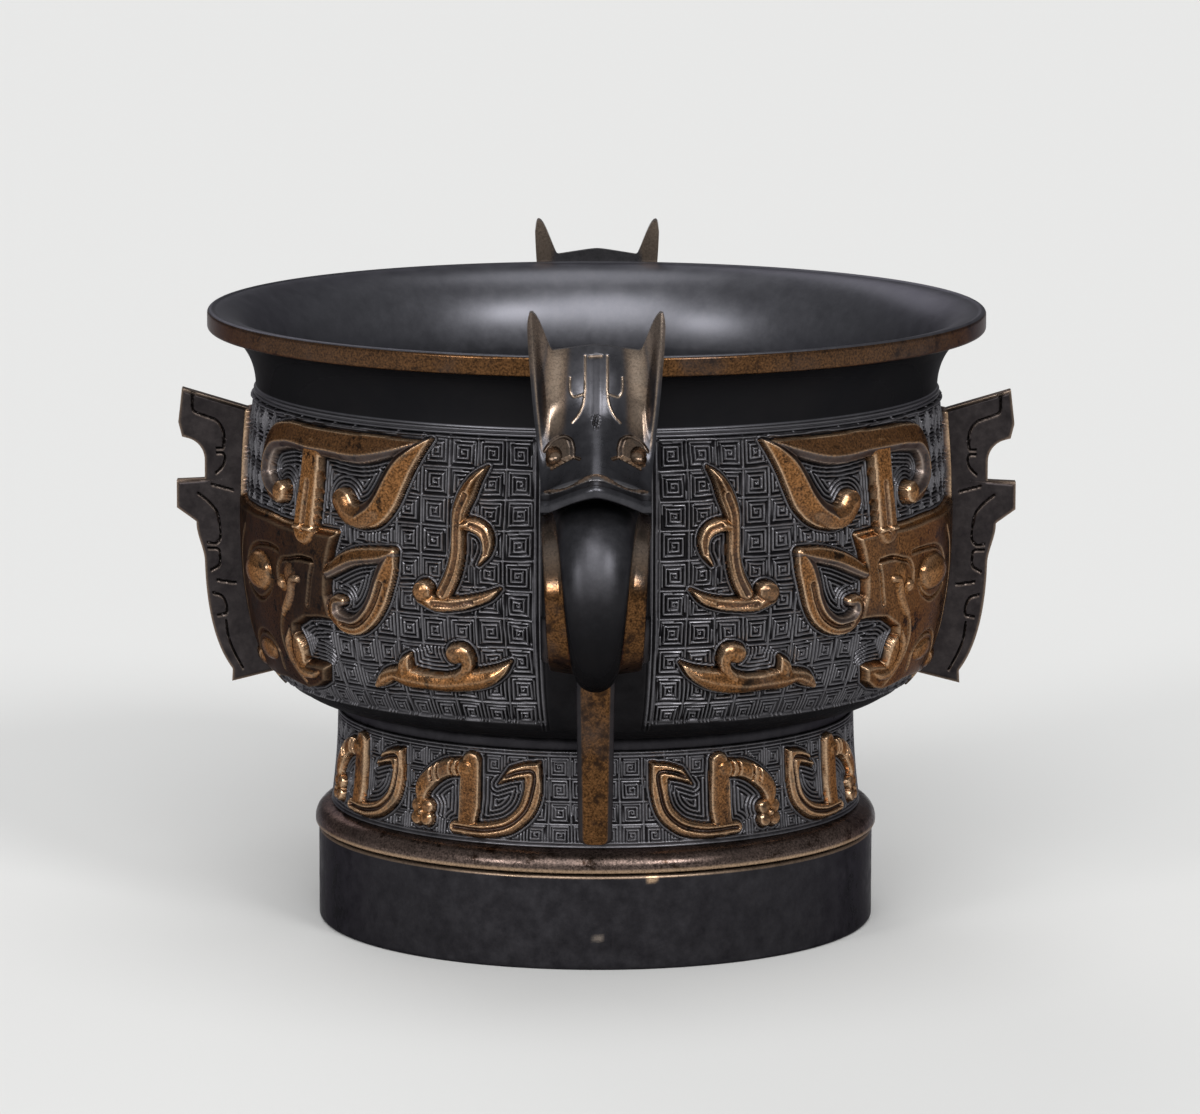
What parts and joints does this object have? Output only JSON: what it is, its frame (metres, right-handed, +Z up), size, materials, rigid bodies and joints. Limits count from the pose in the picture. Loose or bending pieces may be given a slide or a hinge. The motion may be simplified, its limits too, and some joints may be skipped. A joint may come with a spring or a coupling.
{
  "type": "gui-form censer",
  "caption": "Bronze gui-form censer: flared bowl with mask relief on a drum foot and plinth, with beast-head loop handles and notched side flanges.",
  "frame": {"origin": "on the axis of the bowl, on the surface that the plinth stands on", "axes": "+Z up, -Y towards the front handle, +X towards the right flange"},
  "size_m": [0.173, 0.2018, 0.136],
  "materials": {
    "bowl_bronze": "dark patinated bronze with worn gilt relief",
    "foot_bronze": "dark patinated bronze with worn gilt relief",
    "plinth_bronze": "smooth dark patinated bronze",
    "handle_bronze": "polished dark bronze with gilt edges",
    "flange_bronze": "grey-brown bronze with gilt traces",
    "rivet_bronze": "filed bronze"
  },
  "bodies": {
    "root": {"bowl": "bowl_bronze", "foot_drum": "foot_bronze", "plinth_ring": "plinth_bronze", "front_handle": "handle_bronze", "rear_handle": "handle_bronze", "left_flange": "flange_bronze", "right_flange": "flange_bronze", "front_upper_rivet": "rivet_bronze", "front_lower_rivet": "rivet_bronze", "rear_upper_rivet": "rivet_bronze", "rear_lower_rivet": "rivet_bronze"}
  },
  "joints": []
}
